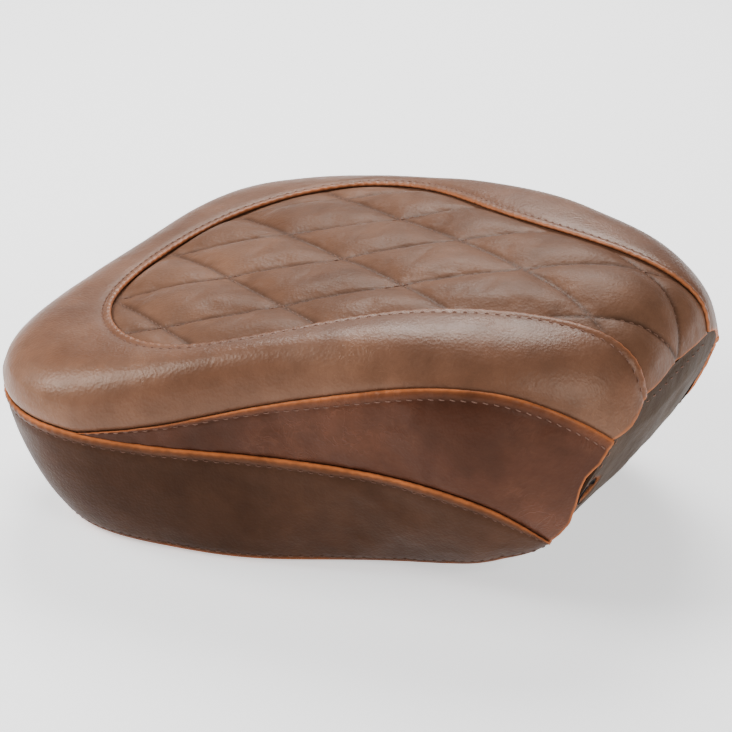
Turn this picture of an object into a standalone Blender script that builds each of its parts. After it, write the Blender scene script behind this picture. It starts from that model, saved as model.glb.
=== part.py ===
"""Passenger seat pad of a motorcycle, in metres, +Z up, +X towards the rider's seat, +Y left.

The cushion is drawn as three lines that run round it from the middle of the rear end to the front
face: the seam of the quilted insert, the seam of the skirt and the hem. Every cover panel, the foam
and the base pan are sheets of some thickness at some depth below the surface over those lines.
A station t runs along the lines: 0 is the middle of the rear end, +11 the left end of the front
face and -11 the right end.
"""

import bmesh
import bpy
import numpy as np

MM = 0.001

# Driving dimensions, in millimetres. The drawing origin is on the insert, 55 mm from its rear end.
CENTRE_X = 70.2  # from the drawing origin to the middle of the length
FLOOR_Z = -102.04  # from the drawing origin down to the lowest hem
LEATHER = 1.2
GAP = 0.3
FOAM_SLACK = 1.0  # between the leather and the sides of the foam
QUILT_PADDING = 8.0
COVER_SHARE = 0.997  # the width of the quilted leather, as a part of the width between the seams
PADDING_SHARE = 0.985  # the same for the padding under it
REAR_STEP = 0.4  # how far both are held back from the seam at the rear end
PAN_WALL = 3.0
PAN_LIFT = 2.4  # the pan above the leather that is folded under it
HEM_RETURN = 12.0  # how far the skirt is folded under the pan
LAST = 11  # the station at the front face
STEP = 0.5  # stations between two columns of the mesh
ACROSS = np.linspace(-1, 1, 11)  # places across the insert, the underside and the front

# One row for each station from 0 to 11: x, y, z.
INSERT_SEAM = [
    (-55, 0, -14), (-52, 38, -13.5), (-40, 72, -11), (-14, 100, -6), (20, 109, 0), (58, 95, 9),
    (100, 69, 19), (140, 52, 25.5), (180, 42, 27.5), (210, 37, 23), (225, 36.5, 12), (229, 36, 0),
]
SKIRT_SEAM = [
    (-88, 0, -40), (-87, 58, -40), (-75, 111, -40), (-36, 142, -40), (20, 137, -40), (65, 121, -40),
    (110, 108, -40), (143, 102, -41), (167, 98, -44), (182, 90, -51), (193, 79, -62), (199, 69, -72),
]
HEM = [
    (-66, 0, -84), (-64, 47, -93), (-55, 92, -101), (-21, 122, -102), (24, 121, -102), (66, 109, -102),
    (107, 88, -101), (141, 78, -97), (165, 76, -91), (179, 72, -86), (190, 66, -82), (196, 60, -78),
]
# Height of the insert's middle above its two seams, and the height of the arch's crown.
INSERT_CROWN = [0, 0.6, 1.5, 3.5, 4.3, 3.5, 2.5, 2.5, 5, 5, 2.5, 1]
ARCH_CROWN = [-84, -79, -72, -66, -61, -57, -55, -54, -54, -57, -62, -66]
ARCH_FLANK = 2.2  # how flat the arch is in the middle and how steep at its flanks

# How full the bolster is at each station, as the two handles of a cubic curve from the insert seam
# to the skirt seam: (outwards, upwards, forwards) of the first and of the second. Outwards and
# upwards are parts of the run between the seams, and forwards is in millimetres.
FULLNESS = [
    (0.62, 0.00, 0, 0.16, 0.62, 0), (0.62, 0.00, 0, 0.16, 0.62, 0), (0.62, 0.00, 0, 0.16, 0.62, 0),
    (0.50, 0.00, 0, 0.16, 0.62, 0), (0.78, 0.12, 0, 0.16, 0.66, 0), (1.10, 0.26, 0, 0.16, 0.68, 0),
    (1.20, 0.26, 0, 0.16, 0.64, 0), (1.05, 0.14, 0, 0.16, 0.62, 0), (0.95, 0.05, 3, 0.16, 0.60, 2),
    (1.00, 0.02, 10, 0.14, 0.56, 7), (1.00, 0.00, 22, 0.12, 0.50, 15), (0.94, -0.07, 28, 0.09, 0.44, 22),
]
# Where the wedge panel's upper seam lies between the insert seam (0) and the skirt seam (1).
WEDGE_START = 3.4
WEDGE_SEAM = [
    (3.4, 1.0), (4, 0.86), (5, 0.735), (6, 0.62), (7, 0.548),
    (8, 0.492), (9, 0.447), (10, 0.41), (11, 0.36),
]
SEAM_MARGIN = 0.004  # half the gap between two panels at a seam, as a part of the panel's height

# The front face: a plane that leans back towards its foot.
FRONT_TOP_X = 225.0
FRONT_FOOT = (194.5, -79.0)
# The outline of the front face from its top edge to its foot: (height, half its width).
FRONT_OUTLINE = [(-1.5, 34.5), (-4.0, 50.0), (-15.0, 59.0), (-38.0, 64.0), (-74.0, 60.0)]
SOCKET_Y = 58.0
SOCKET_Z = -45.0
SOCKET_BORE = 6.0
SOCKET_WALL = 2.0
SOCKET_DEPTH = 20.0

# Hardware under the pan.
PLATE_SIZE = (34.0, 74.0, 3.0)
PLATE_HOLE = 4.3
PLATE_BOLT_Y = 27.0
PLATES = {"front": (150.0, -73.0), "rear": (0.0, -82.0)}  # x and the height of the lower face
NUT_RADIUS = 7.5
NUT_HEIGHT = 6.5
BOSS_RADIUS = 7.0
BOLT_SHANK = 2.7
BOLT_HEAD = 5.0  # the radius of the countersunk head, which lies inside the plate
BOLT_SUNK = 0.2
BUMPER_RADIUS = 13.0
BUMPER_HEIGHT = 12.0
BUMPER_STEM = 4.0
BUMPER_STEM_LENGTH = 5.0
BUMPERS = {"front": (117.0, 50.0), "rear": (-22.0, 68.0)}  # x and y

COLOURS = {
    "brown_leather": ((0.17, 0.075, 0.042), 0.42, 0.0),
    "dark_leather": ((0.085, 0.033, 0.022), 0.4, 0.0),
    "facing_leather": ((0.12, 0.09, 0.07), 0.35, 0.0),
    "foam": ((0.75, 0.68, 0.45), 0.95, 0.0),
    "padding": ((0.85, 0.85, 0.82), 0.95, 0.0),
    "moulded_plastic": ((0.03, 0.03, 0.032), 0.55, 0.0),
    "rubber": ((0.02, 0.02, 0.02), 0.85, 0.0),
    "zinc_steel": ((0.6, 0.6, 0.58), 0.35, 1.0),
}


# Lines and surfaces -------------------------------------------------------------------------


def spline(values):
    """A smooth curve through one value for each station, mirrored for the right side."""
    rows = np.atleast_2d(np.array(values, float).T).T
    mirror = np.ones(rows.shape[1])
    if rows.shape[1] == 3:
        mirror[1] = -1
    knots = np.vstack([rows[:0:-1] * mirror, rows])
    count = len(knots)
    system = np.eye(count)
    slopes = np.zeros_like(knots)
    for i in range(1, count - 1):
        system[i, i - 1 : i + 2] = (1, 4, 1)
        slopes[i] = 3 * (knots[i + 1] - knots[i - 1])
    system[0, :2] = (2, 1)
    system[-1, -2:] = (1, 2)
    slopes[0] = 3 * (knots[1] - knots[0])
    slopes[-1] = 3 * (knots[-1] - knots[-2])
    slopes = np.linalg.solve(system, slopes)

    def at(t):
        place = min(max(t + LAST, 0.0), count - 1.0)
        i = min(int(place), count - 2)
        s = place - i
        start = (1 + 2 * s) * (1 - s) ** 2 * knots[i] + s * (1 - s) ** 2 * slopes[i]
        end = s * s * (3 - 2 * s) * knots[i + 1] + s * s * (s - 1) * slopes[i + 1]
        return start + end

    return at


insert_seam = spline(INSERT_SEAM)
skirt_seam = spline(SKIRT_SEAM)
hem = spline(HEM)
fullness = spline(FULLNESS)
insert_crown = spline(INSERT_CROWN)
arch_crown = spline(ARCH_CROWN)


def unit(vector):
    return vector / np.linalg.norm(vector)


def cubic(points, v):
    a, b, c, d = points
    return (1 - v) ** 3 * a + 3 * (1 - v) ** 2 * v * b + 3 * (1 - v) * v * v * c + v**3 * d


def upper_side(t, v):
    """The bolster and the wedge, from the insert seam (v=0) over the edge to the skirt seam (v=1)."""
    top, foot = insert_seam(t), skirt_seam(t)
    out = (foot - top) * (1, 1, 0)
    down = (foot - top) * (0, 0, 1)
    out_1, up_1, forward_1, out_2, up_2, forward_2 = fullness(t)
    forward = np.array([1.0, 0, 0])
    first = top + out * out_1 - down * up_1 + forward * forward_1
    second = foot + out * out_2 - down * up_2 + forward * forward_2
    return cubic((top, first, second, foot), v)


def lower_side(t, v):
    """The skirt, from its seam (v=0) down to the hem (v=1)."""
    top, foot = skirt_seam(t), hem(t)
    out = (foot - top) * (1, 1, 0)
    down = (foot - top) * (0, 0, 1)
    return cubic((top, top + out * 0.1 + down * 0.33, top + out * 0.5 + down * 0.8, foot), v)


def normal_of(surface, t, v):
    """The outward normal of one of the two side surfaces."""
    h = 0.01
    along = surface(min(t + h, LAST), v) - surface(max(t - h, -LAST), v)
    down = surface(t, min(v + h, 1)) - surface(t, max(v - h, 0))
    return unit(np.cross(along, down))


def insert_normal(k):
    """The normal of the insert, the same across each row of it."""
    h = 0.05
    k = max(k, 0.3)
    run = insert_point(min(k + h, LAST), 0) - insert_point(k - h, 0)
    return unit(np.array([-run[2], 0, run[0]]))


def insert_point(k, u):
    """The insert: k is the station of both ends of a row, and u runs from -1 to 1 across it."""
    seam = insert_seam(k)
    rise = insert_crown(k)[0] * (1 - u * u)
    return np.array([seam[0] + 0.3 * rise * (k / LAST) ** 6, seam[1] * u, seam[2] + rise])


def arch_point(k, u):
    """The underside, arched over the fender."""
    edge = hem(k)
    crown = arch_crown(k)[0]
    return np.array([edge[0], edge[1] * u, crown - (crown - edge[2]) * abs(u) ** ARCH_FLANK])


ARCH_STATIONS = np.arange(0, LAST + 0.05, 0.1)
ARCH_X = [hem(k)[0] for k in ARCH_STATIONS]


def arched(point):
    """The point of the arched underside above or below this one."""
    k = np.interp(point[0], ARCH_X, ARCH_STATIONS)
    share = min(abs(point[1]) / max(hem(k)[1], 1), 1)
    return np.array([point[0], point[1], arch_point(k, share)[2]])


def seam_blend(a, b, share):
    return unit(a * (1 - share) + b * share)


def upper_depth(t, v, depth):
    """A point below the upper side. Close to a seam it goes down the direction that both panels share."""
    normal = normal_of(upper_side, t, v)
    near_insert = min(v / 0.15, 1)
    near_skirt = min((1 - v) / 0.1, 1)
    normal = seam_blend(insert_normal(abs(t)), normal, near_insert)
    normal = seam_blend(skirt_normal(t), normal, near_skirt)
    return upper_side(t, v) - normal * depth


def lower_depth(t, v, depth):
    normal = seam_blend(skirt_normal(t), normal_of(lower_side, t, v), min(v / 0.1, 1))
    return lower_side(t, v) - normal * depth


def skirt_normal(t):
    return unit(normal_of(upper_side, t, 1) + normal_of(lower_side, t, 0))


def insert_depth(k, u, depth):
    return insert_point(k, u) - insert_normal(k) * depth


def wedge_seam(t):
    """The place of the wedge seam between the insert seam and the skirt seam at this station."""
    stations, places = zip(*WEDGE_SEAM)
    return float(np.interp(abs(t), stations, places))


def smooth_wedge_seam(t):
    """The same line with its corners rounded off."""
    if abs(t) <= WEDGE_START:
        return 1.0
    reach = min(0.5, abs(t) - WEDGE_START, LAST - abs(t))
    return (wedge_seam(abs(t) - reach) + 2 * wedge_seam(t) + wedge_seam(abs(t) + reach)) / 4


# Meshes -------------------------------------------------------------------------------------


def to_metres(point):
    return ((point[0] - CENTRE_X) * MM, point[1] * MM, (point[2] - FLOOR_Z) * MM)


def new_object(name, mesh_builder, colour):
    """Joins the builder's vertices and faces into an object with its own material."""
    mesh = bpy.data.meshes.new(name)
    vertices, faces = mesh_builder
    mesh.from_pydata([to_metres(p) for p in vertices], [], faces)
    edit = bmesh.new()
    edit.from_mesh(mesh)
    bmesh.ops.remove_doubles(edit, verts=edit.verts, dist=0.00002)
    bmesh.ops.dissolve_degenerate(edit, edges=edit.edges, dist=0.00001)
    bmesh.ops.recalc_face_normals(edit, faces=edit.faces)
    edit.to_mesh(mesh)
    edit.free()
    obj = bpy.data.objects.new(name, mesh)
    bpy.context.scene.collection.objects.link(obj)
    mesh.materials.append(material(name, colour))
    mesh.shade_smooth()
    mesh.set_sharp_from_angle(angle=np.radians(35))
    return obj


def material(name, colour):
    """A material of the object's own, in one of the finishes listed at the top."""
    base, roughness, metallic = COLOURS[colour]
    made = bpy.data.materials.new(name)
    made.use_nodes = True
    shader = made.node_tree.nodes["Principled BSDF"]
    shader.inputs["Base Color"].default_value = (*base, 1)
    shader.inputs["Roughness"].default_value = roughness
    shader.inputs["Metallic"].default_value = metallic
    return made


def grid_faces(rows, columns, start, flip=False):
    """Two triangles for each cell of a grid. The cut runs the same way in every grid."""
    faces = []
    for i in range(rows - 1):
        for j in range(columns - 1):
            a = start + i * columns + j
            pair = [(a, a + 1, a + columns + 1), (a, a + columns + 1, a + columns)]
            faces += [face[::-1] if flip else face for face in pair]
    return faces


def sheet(outer, inner):
    """A closed sheet between two grids of points of one size."""
    rows, columns = len(outer), len(outer[0])
    vertices = [p for row in outer for p in row] + [p for row in inner for p in row]
    half = rows * columns
    faces = grid_faces(rows, columns, 0) + grid_faces(rows, columns, half, True)
    rim = list(range(columns))
    rim += [i * columns + columns - 1 for i in range(1, rows)]
    rim += [(rows - 1) * columns + j for j in range(columns - 2, -1, -1)]
    rim += [i * columns for i in range(rows - 2, 0, -1)]
    for a, b in zip(rim, rim[1:] + rim[:1]):
        faces.append((b, a, a + half, b + half))
    return vertices, faces


def turned(profile, centre, axis, sides=24):
    """A solid turned round an axis. The profile lists (radius, distance along the axis)."""
    axis = unit(np.array(axis, float))
    side = unit(np.cross(axis, (0, 1, 0)))
    other = np.cross(axis, side)
    vertices, faces = [], []
    for radius, along in profile:
        for angle in np.arange(sides) * 2 * np.pi / sides:
            spoke = side * np.cos(angle) + other * np.sin(angle)
            vertices.append(np.array(centre) + axis * along + spoke * radius)
    count = len(profile)
    for i in range(count - 1):
        for j in range(sides):
            k = (j + 1) % sides
            faces.append((i * sides + j, i * sides + k, (i + 1) * sides + k, (i + 1) * sides + j))
    faces.append(tuple(range(sides))[::-1])
    faces.append(tuple((count - 1) * sides + j for j in range(sides)))
    return vertices, faces


def block(low, high):
    corners = [(x, y, z) for x in (low[0], high[0]) for y in (low[1], high[1]) for z in (low[2], high[2])]
    faces = [(0, 1, 3, 2), (4, 6, 7, 5), (0, 4, 5, 1), (2, 3, 7, 6), (0, 2, 6, 4), (1, 5, 7, 3)]
    return [np.array(c, float) for c in corners], faces


def helper(name, built):
    """A solid that only shapes others, left out of the finished part."""
    obj = new_object(name, built, "foam")
    obj.hide_render = True
    obj.display_type = "WIRE"
    return obj


def combine(obj, other, operation):
    modifier = obj.modifiers.new(other.name, "BOOLEAN")
    modifier.operation = operation
    modifier.object = other
    modifier.solver = "EXACT"


def stations(first, last, step=STEP):
    return [float(t) for t in np.arange(first, last + step / 2, step)]


# The front face -----------------------------------------------------------------------------

FRONT_DOWN = unit(np.array([FRONT_FOOT[0] - FRONT_TOP_X, 0, FRONT_FOOT[1]]))
FRONT_NORMAL = np.array([-FRONT_DOWN[2], 0, FRONT_DOWN[0]])


def front_point(y, z, depth):
    """A point behind the plane of the front face."""
    x = FRONT_TOP_X + FRONT_DOWN[0] / FRONT_DOWN[2] * z
    return np.array([x, y, z]) - FRONT_NORMAL * depth


def front_outline(inset, across=7):
    """Rows of the front face from its top edge to its arched foot, (y, z) each."""
    sides = np.linspace(-1, 1, across)
    rows = [[(u * (half - inset), z) for u in sides] for z, half in FRONT_OUTLINE]
    rows[-1] = [(y, max(z, arch_point(LAST, u)[2] + PAN_LIFT + GAP)) for u, (y, z) in zip(sides, rows[-1])]
    return rows


def front_sheet(inset, depth, thickness):
    rows = front_outline(inset)
    outer = [[front_point(y, z, depth) for y, z in row] for row in rows]
    inner = [[front_point(y, z, depth + thickness) for y, z in row] for row in rows]
    return sheet(outer, inner)


def cut_front(obj, depth):
    """Takes off everything in front of a plane behind the front face."""
    edit = bmesh.new()
    edit.from_mesh(obj.data)
    cut = bmesh.ops.bisect_plane(
        edit,
        geom=edit.verts[:] + edit.edges[:] + edit.faces[:],
        dist=0.000001,
        plane_co=to_metres(front_point(0, 0, depth)),
        plane_no=FRONT_NORMAL,
        clear_outer=True,
    )
    rim = [e for e in cut["geom_cut"] if isinstance(e, bmesh.types.BMEdge)]
    bmesh.ops.holes_fill(edit, edges=rim, sides=0)
    bmesh.ops.triangulate(edit, faces=[f for f in edit.faces if len(f.verts) > 4])
    bmesh.ops.recalc_face_normals(edit, faces=edit.faces)
    edit.to_mesh(obj.data)
    edit.free()


# Sub-parts ----------------------------------------------------------------------------------


def insert_layer(rows, depth, narrower, shorter):
    """A grid at some depth below the insert, a little narrower and with its rear end held back."""
    grid = []
    for k in rows:
        back = np.array([shorter * (1 - k / LAST) ** 2, 0, 0])
        grid.append([insert_depth(k, u, depth) * (1, narrower, 1) + back for u in ACROSS])
    return grid


def make_insert_cover():
    rows = stations(0, LAST)
    faces = [insert_layer(rows, depth, COVER_SHARE, REAR_STEP) for depth in (0, LEATHER)]
    return new_object("cover_quilted_insert", sheet(*faces), "brown_leather")


def make_insert_padding():
    rows = stations(0.5, LAST)
    top = LEATHER + GAP
    faces = [insert_layer(rows, depth, PADDING_SHARE, REAR_STEP) for depth in (top, top + QUILT_PADDING)]
    obj = new_object("quilt_padding", sheet(*faces), "padding")
    cut_front(obj, LEATHER + PAN_WALL + 2 * GAP + 1)
    return obj


def make_bolster_cover():
    columns = stations(-LAST, LAST)

    def layer(depth):
        rows = []
        for t in columns:
            places = np.linspace(SEAM_MARGIN, smooth_wedge_seam(t) - SEAM_MARGIN, 8)
            rows.append([upper_depth(t, v, depth) for v in places])
        return rows

    return new_object("cover_bolster", sheet(layer(0), layer(LEATHER)), "brown_leather")


def make_wedge_cover(side, name):
    columns = [side * t for t in [WEDGE_START + 0.25] + stations(4, LAST)]

    def layer(depth):
        rows = []
        for t in columns:
            places = np.linspace(smooth_wedge_seam(t) + SEAM_MARGIN, 1 - SEAM_MARGIN, 5)
            rows.append([upper_depth(t, v, depth) for v in places])
        return rows

    return new_object(name, sheet(layer(0), layer(LEATHER)), "dark_leather")


def make_skirt_cover():
    """The skirt, folded under the pan at the hem."""
    places = np.linspace(0.006, 1, 6)
    shares = (1 / 3, 2 / 3, 1)
    outer, inner = [], []
    for t in stations(-LAST, LAST):
        width = HEM_RETURN * min(1, 0.2 + 0.8 * (LAST - abs(t)))
        inward = -unit(normal_of(lower_side, t, 1) * (1, 1, 0))
        folded = [arched(hem(t) + inward * width * share) for share in shares]
        corner = hem(t) + inward * LEATHER
        outer.append([lower_side(t, v) for v in places] + folded)
        inner.append(
            [lower_depth(t, v, LEATHER) for v in places[:-1]]
            + [p + np.array([0, 0, LEATHER]) for p in [corner] + folded]
        )
    return new_object("cover_skirt", sheet(outer, inner), "dark_leather")


def pan_edge(t):
    """The rim of the base pan, inside the skirt."""
    return hem(t) - unit(normal_of(lower_side, t, 1) * (1, 1, 0)) * (LEATHER + 2 * GAP)


def make_foam():
    """One moulded block: a recess for the quilted insert, full sides and an arched underside."""
    skin = LEATHER + FOAM_SLACK
    recess = LEATHER + QUILT_PADDING + 3 * GAP
    rows = stations(0, LAST)
    columns = stations(-LAST, LAST)
    clearance = PAN_LIFT + PAN_WALL + 2 * GAP

    def ring(t):
        """Points down one side, from the insert to just above the edge of the pan."""
        share = 1 - clearance / (skirt_seam(t)[2] - hem(t)[2])
        upper = [upper_depth(t, v, skin) for v in np.linspace(0, 1, 8)]
        lower = [lower_depth(t, v * share, skin) for v in np.linspace(0, 1, 5)[1:]]
        lower[-1] = arched(pan_edge(t)) + (0, 0, clearance)
        edge = insert_depth(abs(t), np.sign(t), recess)
        return [edge] + upper + lower

    sides = [ring(t) for t in columns]
    top = [[insert_depth(k, u, recess) for u in ACROSS] for k in rows]
    bottom = [[arched(pan_edge(k) * (1, u, 1)) + (0, 0, clearance) for u in ACROSS] for k in rows]
    front = [[a * (1 - s) + b * s for s in (ACROSS + 1) / 2] for a, b in zip(sides[0], sides[-1])]
    front[0] = top[-1]
    front[-1] = bottom[-1]
    vertices, faces = [], []
    for grid, flip in ((sides, False), (top, False), (bottom, True), (front, True)):
        start = len(vertices)
        vertices += [p for row in grid for p in row]
        faces += grid_faces(len(grid), len(grid[0]), start, flip)
    obj = new_object("foam_core", (vertices, faces), "foam")
    cut_front(obj, LEATHER + PAN_WALL + 2 * GAP)
    for side in (1, -1):
        radius = SOCKET_BORE + SOCKET_WALL + 1
        hole = turned([(radius, -30), (radius, 10)], socket_centre(side), FRONT_NORMAL)
        combine(obj, helper(f"foam_socket_hole_{side}", hole), "DIFFERENCE")
    return obj


def make_pan():
    """The moulded base: an arched shell with a front wall, bosses for the plates and bumpers."""

    def layer(rise):
        return [
            [arched(pan_edge(k) * (1, u, 1)) + (0, 0, PAN_LIFT + rise) for u in ACROSS]
            for k in stations(0, LAST)
        ]

    pan = new_object("base_pan", sheet(layer(PAN_WALL), layer(0)), "moulded_plastic")
    cut_front(pan, LEATHER + GAP + 1)
    wall = helper("pan_front_wall", front_sheet(1.2, LEATHER + GAP, PAN_WALL))
    combine(pan, wall, "UNION")
    for name, (x, z) in PLATES.items():
        for side in (1, -1):
            centre = (x, side * PLATE_BOLT_Y, z + PLATE_SIZE[2] + GAP)
            combine(pan, helper(f"boss_{name}_{side}", boss(centre, BOSS_RADIUS)), "UNION")
            depth = pan_height(x, PLATE_BOLT_Y) - centre[2]
            hole = turned([(BOLT_SHANK + GAP, -2), (BOLT_SHANK + GAP, depth)], centre, (0, 0, 1), 12)
            combine(pan, helper(f"boss_hole_{name}_{side}", hole), "DIFFERENCE")
    for name, centre in bumper_places():
        combine(pan, helper(f"pad_{name}", boss(centre, BUMPER_RADIUS)), "UNION")
        radius = BUMPER_STEM + GAP
        hole = turned([(radius, -2), (radius, BUMPER_STEM_LENGTH + GAP)], centre, (0, 0, 1), 16)
        combine(pan, helper(f"pad_hole_{name}", hole), "DIFFERENCE")
    for side in (1, -1):
        radius = SOCKET_BORE + SOCKET_WALL + GAP
        hole = turned([(radius, -12), (radius, 6)], socket_centre(side), FRONT_NORMAL)
        combine(pan, helper(f"pan_socket_hole_{side}", hole), "DIFFERENCE")
    return pan


def pan_height(x, y):
    """The height of the pan's lower face at a place under it."""
    return arched((x, y))[2] + PAN_LIFT


def boss(centre, radius, sides=24):
    """A round boss on the pan's lower face: its top follows the arch, half way into the wall."""
    vertices, faces = turned([(radius, 0), (radius, 1)], centre, (0, 0, 1), sides)
    for point in vertices[sides:]:
        point[2] = pan_height(point[0], point[1]) + PAN_WALL / 2
    return vertices, faces


def bumper_places():
    for end, (x, y) in BUMPERS.items():
        for side, word in ((1, "left"), (-1, "right")):
            steps = (-BUMPER_RADIUS, 0, BUMPER_RADIUS)
            lowest = min(pan_height(x + step, y + BUMPER_RADIUS) for step in steps)
            yield f"{end}_{word}", np.array([x, side * y, lowest - 2 * GAP])


def socket_centre(side):
    """The middle of a socket's mouth, on the front face."""
    return front_point(side * SOCKET_Y, SOCKET_Z, 0)


def make_front_panel():
    panel = new_object("cover_front_panel", front_sheet(0, 0, LEATHER), "facing_leather")
    for side in (1, -1):
        hole = turned([(SOCKET_BORE, -6), (SOCKET_BORE, 6)], socket_centre(side), FRONT_NORMAL)
        combine(panel, helper(f"panel_socket_hole_{side}", hole), "DIFFERENCE")
    return panel


def make_socket(side, word):
    """A blind cup in the front wall, with its mouth behind a hole in the front panel."""
    outer = SOCKET_BORE + SOCKET_WALL
    mouth = -LEATHER - GAP
    floor = SOCKET_WALL - SOCKET_DEPTH
    profile = [(outer, -SOCKET_DEPTH), (outer, mouth), (SOCKET_BORE, mouth), (SOCKET_BORE, floor)]
    cup = turned(profile, socket_centre(side), FRONT_NORMAL)
    return new_object(f"front_socket_{word}", cup, "moulded_plastic")


def make_plate(end):
    """A steel plate with a threaded hole in its middle and a bolt hole at each end."""
    x, z = PLATES[end]
    length, width, thick = PLATE_SIZE
    plate = new_object(
        f"{end}_mount_plate",
        block((x - length / 2, -width / 2, z), (x + length / 2, width / 2, z + thick)),
        "zinc_steel",
    )
    thread = turned([(PLATE_HOLE, -2), (PLATE_HOLE, thick + 2)], (x, 0, z), (0, 0, 1), 20)
    combine(plate, helper(f"{end}_plate_thread", thread), "DIFFERENCE")
    for side in (1, -1):
        hole = turned(bolt_profile(GAP, thick + 2), (x, side * PLATE_BOLT_Y, z), (0, 0, 1), 20)
        combine(plate, helper(f"{end}_plate_hole_{side}", hole), "DIFFERENCE")
    return plate


def make_plate_nut(end):
    x, z = PLATES[end]
    base = z + PLATE_SIZE[2] + GAP
    hexagon = turned([(NUT_RADIUS, 0), (NUT_RADIUS, NUT_HEIGHT)], (x, 0, base), (0, 0, 1), 6)
    nut = new_object(f"{end}_weld_nut", hexagon, "zinc_steel")
    bore = turned([(PLATE_HOLE, -2), (PLATE_HOLE, NUT_HEIGHT + 2)], (x, 0, base), (0, 0, 1), 20)
    combine(nut, helper(f"{end}_nut_bore", bore), "DIFFERENCE")
    return nut


def bolt_profile(clearance, length):
    """A countersunk bolt from just inside the plate's lower face, or the hole it goes in."""
    head = BOLT_HEAD + clearance
    shank = BOLT_SHANK + clearance
    low = BOLT_SUNK - clearance - (2 if clearance else 0)
    return [(head, low), (head, BOLT_SUNK), (shank, BOLT_SUNK + head - shank), (shank, length)]


def make_plate_bolt(end, side, word):
    """A countersunk bolt up through the plate into a boss of the pan."""
    x, z = PLATES[end]
    y = side * PLATE_BOLT_Y
    profile = bolt_profile(0, pan_height(x, y) - z - 3)[1:]
    return new_object(f"{end}_plate_bolt_{word}", turned(profile, (x, y, z), (0, 0, 1), 20), "zinc_steel")


def make_bumper(name, centre):
    """A rubber foot with a stem that presses into the pan."""
    foot = -GAP - BUMPER_HEIGHT
    profile = [
        (BUMPER_RADIUS - 2, foot), (BUMPER_RADIUS, foot + 2), (BUMPER_RADIUS, -GAP),
        (BUMPER_STEM, -GAP), (BUMPER_STEM, BUMPER_STEM_LENGTH),
    ]
    return new_object(f"bumper_{name}", turned(profile, centre, (0, 0, 1), 20), "rubber")


def main():
    for obj in list(bpy.data.objects):
        bpy.data.objects.remove(obj)
    make_pan()
    make_foam()
    make_insert_padding()
    make_insert_cover()
    make_bolster_cover()
    make_wedge_cover(1, "cover_wedge_left")
    make_wedge_cover(-1, "cover_wedge_right")
    make_skirt_cover()
    make_front_panel()
    for side, word in ((1, "left"), (-1, "right")):
        make_socket(side, word)
    for end in PLATES:
        make_plate(end)
        make_plate_nut(end)
        for side, word in ((1, "left"), (-1, "right")):
            make_plate_bolt(end, side, word)
    for name, centre in bumper_places():
        make_bumper(name, centre)


main()
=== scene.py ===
"""Looks of the passenger seat pad: a quilted leather cover sewn from panels over foam on a moulded pan.

The cover's lines and surfaces are those of the CAD part, in its drawing frame: millimetres, with the
origin on the insert. Each cover panel is a shell with a folded or tucked edge at its seams.
"""

import bpy
import numpy as np
from mathutils import Matrix, Vector, noise


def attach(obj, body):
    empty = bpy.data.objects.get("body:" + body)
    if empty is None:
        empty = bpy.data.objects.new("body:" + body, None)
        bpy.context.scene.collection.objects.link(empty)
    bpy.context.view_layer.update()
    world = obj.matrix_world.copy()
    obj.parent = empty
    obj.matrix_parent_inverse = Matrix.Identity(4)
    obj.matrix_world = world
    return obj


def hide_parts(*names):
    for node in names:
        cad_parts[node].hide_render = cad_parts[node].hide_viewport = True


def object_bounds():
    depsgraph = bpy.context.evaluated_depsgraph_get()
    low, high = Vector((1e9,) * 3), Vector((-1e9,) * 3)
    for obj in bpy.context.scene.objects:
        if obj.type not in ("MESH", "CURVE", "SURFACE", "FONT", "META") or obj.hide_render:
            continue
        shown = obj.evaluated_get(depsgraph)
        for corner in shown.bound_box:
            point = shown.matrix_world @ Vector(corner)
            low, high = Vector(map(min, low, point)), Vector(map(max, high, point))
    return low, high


MM = 0.001
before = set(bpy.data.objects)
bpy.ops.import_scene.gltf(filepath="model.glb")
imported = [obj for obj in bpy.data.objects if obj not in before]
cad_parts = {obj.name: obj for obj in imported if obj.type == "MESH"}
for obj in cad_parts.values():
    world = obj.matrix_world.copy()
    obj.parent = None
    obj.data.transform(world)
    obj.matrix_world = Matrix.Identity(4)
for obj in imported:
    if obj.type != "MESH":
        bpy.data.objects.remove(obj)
CAD_BOX = [list(corner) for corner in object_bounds()]

# Driving dimensions, in millimetres, as in the part.
CENTRE_X = 70.2
FLOOR_Z = -102.04
LEATHER = 1.2
LAST = 11
HEM_RETURN = 12.0
SIDES = ((1, "left"), (-1, "right"))

# One row for each station from the middle of the rear end (0) to the front face (11): x, y, z.
INSERT_SEAM = [
    (-55, 0, -14), (-52, 38, -13.5), (-40, 72, -11), (-14, 100, -6), (20, 109, 0), (58, 95, 9),
    (100, 69, 19), (140, 52, 25.5), (180, 42, 27.5), (210, 37, 23), (225, 36.5, 12), (229, 36, 0),
]
SKIRT_SEAM = [
    (-88, 0, -40), (-87, 58, -40), (-75, 111, -40), (-36, 142, -40), (20, 137, -40), (65, 121, -40),
    (110, 108, -40), (143, 102, -41), (167, 98, -44), (182, 90, -51), (193, 79, -62), (199, 69, -72),
]
HEM = [
    (-66, 0, -84), (-64, 47, -93), (-55, 92, -101), (-21, 122, -102), (24, 121, -102), (66, 109, -102),
    (107, 88, -101), (141, 78, -97), (165, 76, -91), (179, 72, -86), (190, 66, -82), (196, 60, -78),
]
INSERT_CROWN = [0, 0.6, 1.5, 3.5, 4.3, 3.5, 2.5, 2.5, 5, 5, 2.5, 1]
ARCH_CROWN = [-84, -79, -72, -66, -61, -57, -55, -54, -54, -57, -62, -66]
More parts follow.
